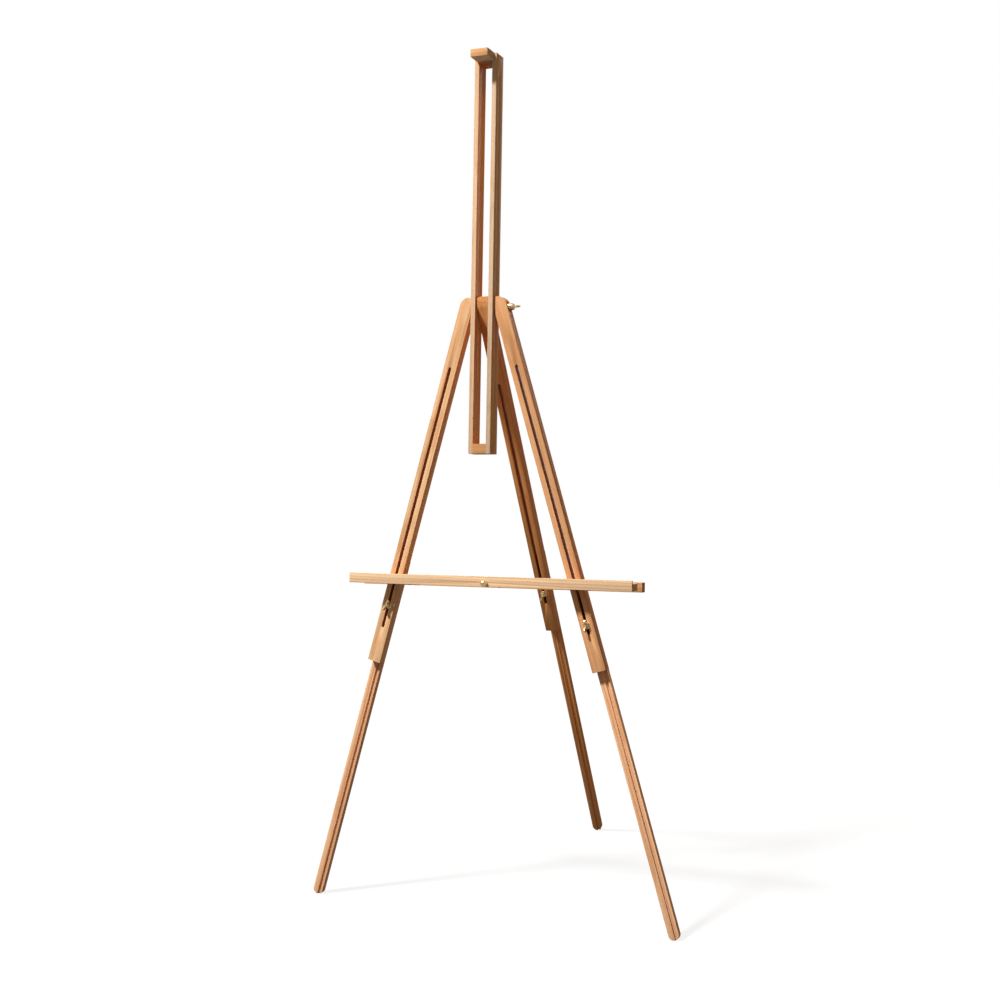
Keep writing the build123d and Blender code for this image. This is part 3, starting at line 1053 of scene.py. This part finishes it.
    def tray_bolt(self) -> None:
        """Fit the tray's bolt and turn its round nut: a ball that stands on a flat collar."""
        joint = "tray_knob_turn"
        bolt = self.bolt("tray_bolt.bolt", self.length("tray_bolt", joint))
        self.model.set_down(bolt, "tray_bolt", joint, self.brass)
        r, centre = self.knob_radius, self.knob_height - self.knob_radius
        inner, collar = self.bore, self.knob_collar
        profile = [(0, self.knob_depth), (inner, self.knob_depth), (inner, 0.3)]
        profile += [(inner + 0.3, 0), (collar - 0.3, 0), (collar, 0.3)]
        for angle in range(-44, 90, 6):
            profile.append((r * cos(radians(angle)), centre + r * sin(radians(angle))))
        profile.append((0, self.knob_height))
        knob = Bench.turned("tray_knob.brass", profile, 64)
        Bench.smooth(knob, 34)
        self.model.set_down(knob, "tray_knob", joint, self.brass)


# ---------------------------------------------------------------- the studio


@dataclass(frozen=True)
class Sun:
    """One broad lamp. Its bearing runs from the front towards the painter's right, in degrees."""

    name: str
    bearing: float
    height: float
    strength: float
    spread: float
    colour: tuple = (1.0, 0.985, 0.96)

    def hang(self) -> None:
        """Hang the lamp, pointing at the easel."""
        lamp = bpy.data.lights.new(self.name, "SUN")
        lamp.energy = self.strength
        lamp.angle = radians(self.spread)
        lamp.color = self.colour
        sun = bpy.data.objects.new(self.name, lamp)
        bearing, height = radians(self.bearing), radians(self.height)
        towards = Vector((sin(bearing) * cos(height), -cos(bearing) * cos(height), sin(height)))
        sun.rotation_euler = towards.to_track_quat("Z", "Y").to_euler()
        bpy.context.scene.collection.objects.link(sun)


@dataclass(frozen=True)
class Camera:
    """The view, in metres, degrees and millimetres of focal length. Aim turns it off the hub."""

    bearing: float = 23.81
    distance: float = 3.193
    height: float = 1.0162
    aim: float = -0.569
    pitch: float = -1.497
    roll: float = -0.278
    focal: float = 50.91

    def stand(self, hub: Vector) -> None:
        """Stand the camera a little to the painter's right, at chest height.

        Args:
            hub: The middle of the cross bolt, which the bearing and the distance are taken from.
        """
        lens = bpy.data.cameras.new("view")
        lens.lens = self.focal
        lens.clip_end = 100
        view = bpy.data.objects.new("view", lens)
        bearing = radians(self.bearing)
        level = bearing + radians(self.aim)
        ahead = Vector((-sin(level), cos(level), 0))
        right = Vector((cos(level), sin(level), 0))
        pitch, roll = radians(self.pitch), radians(self.roll)
        forward = cos(pitch) * ahead + sin(pitch) * UP
        upward = -sin(pitch) * ahead + cos(pitch) * UP
        x = cos(roll) * right + sin(roll) * upward
        y = -sin(roll) * right + cos(roll) * upward
        away = Vector((sin(bearing), -cos(bearing), 0)) * self.distance
        place = Matrix((x, y, -forward)).transposed().to_4x4()
        place.translation = away + Vector((hub.x, hub.y, self.height))
        view.matrix_world = place
        bpy.context.scene.collection.objects.link(view)
        bpy.context.scene.camera = view


@dataclass(frozen=True)
class Studio:
    """The floor, the lamps, the air and the camera.

    The fill is the air's light on the easel. The brass mirrors the room's colour where a direction's Y
    is below white_from, and white where it is above white_at.
    """

    suns: tuple[Sun, ...] = (Sun("key", -32.0, 52.5, 4.65, 7), Sun("back", 198.0, 22.0, 1.5, 50))
    camera: Camera = Camera()
    ground: Ground = Ground()
    floor_radius: float = 30.0
    fill: tuple = (0.25, 0.195, 0.125)
    room: tuple = (0.22, 0.20, 0.18)
    white_from: float = -0.7
    white_at: float = 0.5

    def build(self, hub: Vector) -> None:
        """Lay the floor, hang the lamps and set the camera.

        Args:
            hub: The middle of the cross bolt, which the camera is placed from.
        """
        self.floor()
        for sun in self.suns:
            sun.hang()
        self.air()
        self.camera.stand(hub)
        bpy.context.scene.view_settings.view_transform = "Standard"
        log.info("studio: floor, lamps, air and camera")

    def floor(self) -> None:
        """Lay a wide pale floor."""
        Bench.clear()
        bpy.ops.mesh.primitive_circle_add(vertices=96, radius=self.floor_radius, fill_type="NGON")
        floor = bpy.context.object
        floor.name = self.ground.name
        floor.data.materials.append(self.ground.material())

    def air(self) -> None:
        """Fill the shadows with a dim even light, which the camera sees as white."""
        world = bpy.data.worlds.new("studio_air")
        bpy.context.scene.world = world
        nodes = Nodes(world)
        path = nodes.add("ShaderNodeLightPath").outputs
        towards = nodes.add("ShaderNodeTexCoord").outputs["Generated"]
        back = nodes.value(nodes.add("ShaderNodeSeparateXYZ", {}, {"Vector": towards}).outputs[1])
        behind = back.step(self.white_from, self.white_at)
        room = nodes.mix(behind, tint(*self.room), tint(1, 1, 1))
        colour = nodes.mix(path["Is Glossy Ray"], tint(*self.fill), room)
        clear = nodes.value(path["Is Camera Ray"]) + path["Is Transmission Ray"]
        colour = nodes.mix(clear.step(0, 1), colour, tint(1, 1, 1))
        light = nodes.add("ShaderNodeBackground", {}, {"Color": colour, "Strength": 1.0})
        nodes.finish("ShaderNodeOutputWorld", light)


def main() -> None:
    """Build the easel's pieces in order, then the studio around them."""
    logging.basicConfig(level=logging.INFO, format="%(name)s: %(message)s")
    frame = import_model()
    model = Model(frame)

    brass = Metal("brass", (0.88, 0.68, 0.38), (0.42, 0.27, 0.11), 0.34).material()
    cast = Metal("cast_brass", (0.90, 0.69, 0.39), (0.34, 0.20, 0.08), 0.28, handled=True).material()
    steel = Metal("plated_steel", (0.66, 0.63, 0.56), (0.42, 0.38, 0.31), 0.28).material()
    hardware = Hardware(model, brass, cast)
    hardware.prepare()

    Mast(model).build(steel)
    hardware.head()
    hardware.discs()
    honey = {"early": (0.86, 0.57, 0.335), "late": (0.65, 0.35, 0.17)}
    warm = {"early": (0.79, 0.44, 0.22), "late": (0.58, 0.27, 0.12)}
    tan = {"early": (0.86, 0.54, 0.33), "late": (0.65, 0.345, 0.18)}
    brown = {"early": (0.80, 0.38, 0.14), "late": (0.58, 0.235, 0.075)}
    # The upper halves paint shade onto their slots' walls.
    legs = (
        Leg(
            model,
            "front_left",
            "left_leg_extend",
            "left_nut_turn",
            Beech("left_upper_beech", **honey, pith=(0.05, 0.05), paints_slot_shade=True),
            Beech("left_lower_beech", **tan, pith=(0.03, 0.07)),
        ),
        Leg(
            model,
            "front_right",
            "right_leg_extend",
            "right_nut_turn",
            Beech("right_upper_beech", **warm, pith=(0.07, 0.03), paints_slot_shade=True),
            Beech("right_lower_beech", **tan, pith=(0.04, 0.04)),
        ),
        Leg(
            model,
            "rear",
            "rear_leg_extend",
            "rear_nut_turn",
            Beech("rear_upper_beech", **brown, pith=(0.06, 0.06), paints_slot_shade=True),
            Beech("rear_lower_beech", **brown, pith=(0.05, 0.08)),
        ),
    )
    for leg in legs:
        leg.build(hardware)
    Tray(model).build(hardware)
    hardware.retire()

    Studio().build(Vector(model.joint("mast_tilt")["pos_m"]))


if __name__ == "__main__":
    main()
